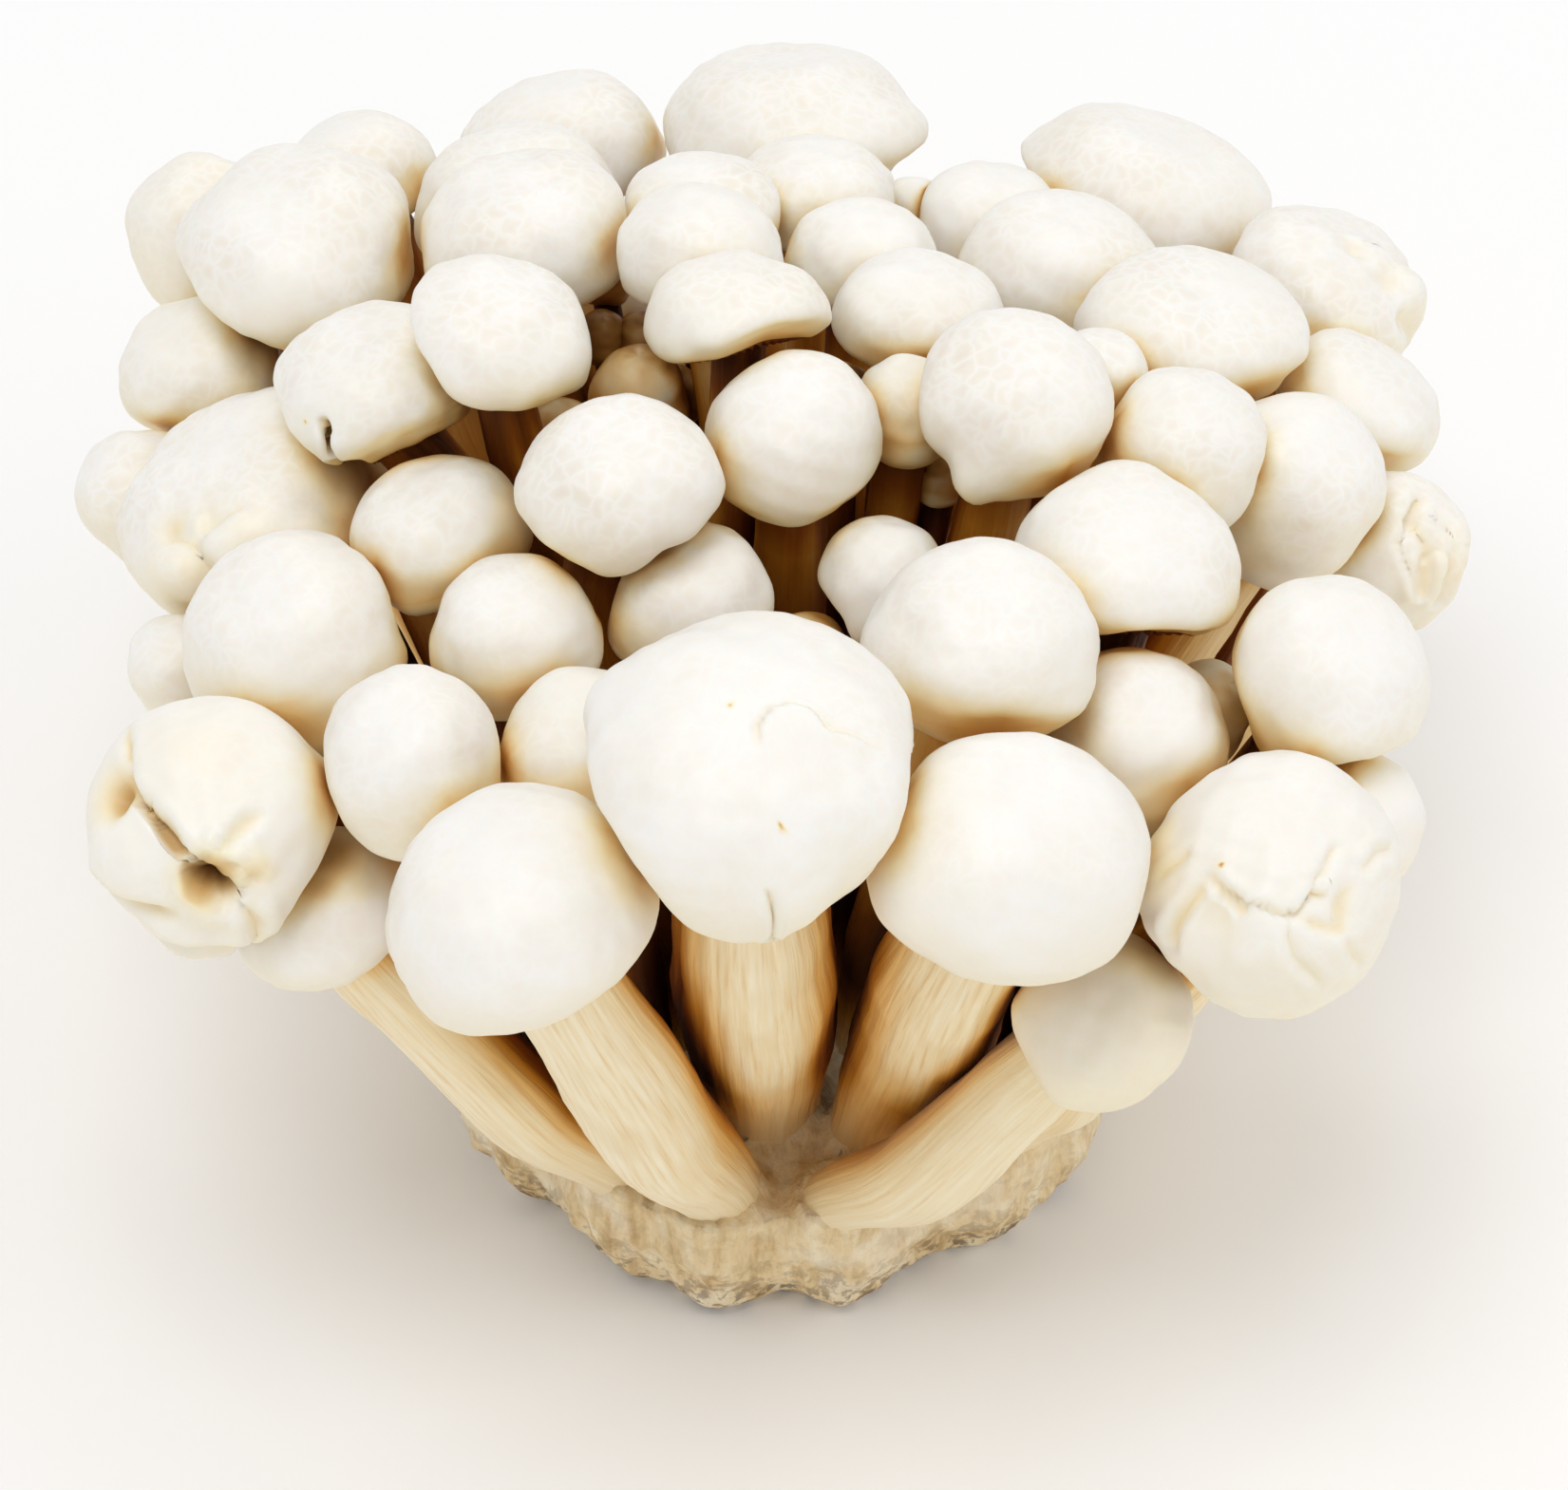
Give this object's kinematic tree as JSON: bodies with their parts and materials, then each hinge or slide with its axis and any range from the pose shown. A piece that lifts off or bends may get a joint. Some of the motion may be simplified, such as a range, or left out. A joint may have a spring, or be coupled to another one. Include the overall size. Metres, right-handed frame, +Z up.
{
  "type": "white beech mushroom",
  "caption": "Clump of white beech mushrooms: rounded pale caps of many sizes on pale stems that join at one flat-cut base it stands on.",
  "frame": {"origin": "middle of the flat cut face under the base, level with the surface that the clump stands on", "axes": "+Z up, +X to the right and -Y towards the viewer in the picture"},
  "size_m": [0.1438, 0.158, 0.1117],
  "materials": {
    "flesh": "satin",
    "base": "matte"
  },
  "bodies": {
    "root": {"base": "base", "mushroom_a1_torn": "flesh", "mushroom_a2": "flesh", "mushroom_a3": "flesh", "mushroom_a4_giant": "flesh", "mushroom_a5": "flesh", "mushroom_a6": "flesh", "mushroom_a7_wrinkled": "flesh", "mushroom_a8": "flesh", "mushroom_b1": "flesh", "mushroom_b2": "flesh", "mushroom_b3": "flesh", "mushroom_b4": "flesh", "mushroom_b5": "flesh", "mushroom_b6": "flesh", "mushroom_b7": "flesh", "mushroom_c1": "flesh", "mushroom_c2": "flesh", "mushroom_c3": "flesh", "mushroom_c4": "flesh", "mushroom_c5": "flesh", "mushroom_c6": "flesh", "mushroom_d1_wavy": "flesh", "mushroom_d2": "flesh", "mushroom_d3": "flesh", "mushroom_d4": "flesh", "mushroom_d5": "flesh", "mushroom_d6_ragged": "flesh", "mushroom_e1": "flesh", "mushroom_e2": "flesh", "mushroom_e3_split": "flesh", "mushroom_e4": "flesh", "mushroom_e5": "flesh", "mushroom_e6": "flesh", "mushroom_e7": "flesh", "mushroom_e8": "flesh", "mushroom_e9": "flesh", "mushroom_f1": "flesh", "mushroom_f2": "flesh", "mushroom_f3": "flesh", "mushroom_f4": "flesh", "mushroom_f5": "flesh", "mushroom_f6": "flesh", "mushroom_f7": "flesh", "mushroom_f8_wavy": "flesh", "mushroom_g1": "flesh", "mushroom_g2": "flesh", "mushroom_g3": "flesh", "mushroom_g4": "flesh", "mushroom_g5": "flesh", "mushroom_g6": "flesh", "mushroom_g7": "flesh", "mushroom_g8": "flesh", "bunch_back": "flesh", "bunch_back_left": "flesh", "bunch_back_middle": "flesh", "bunch_back_right": "flesh", "bunch_middle": "flesh", "bunch_middle_left": "flesh"}
  },
  "joints": []
}
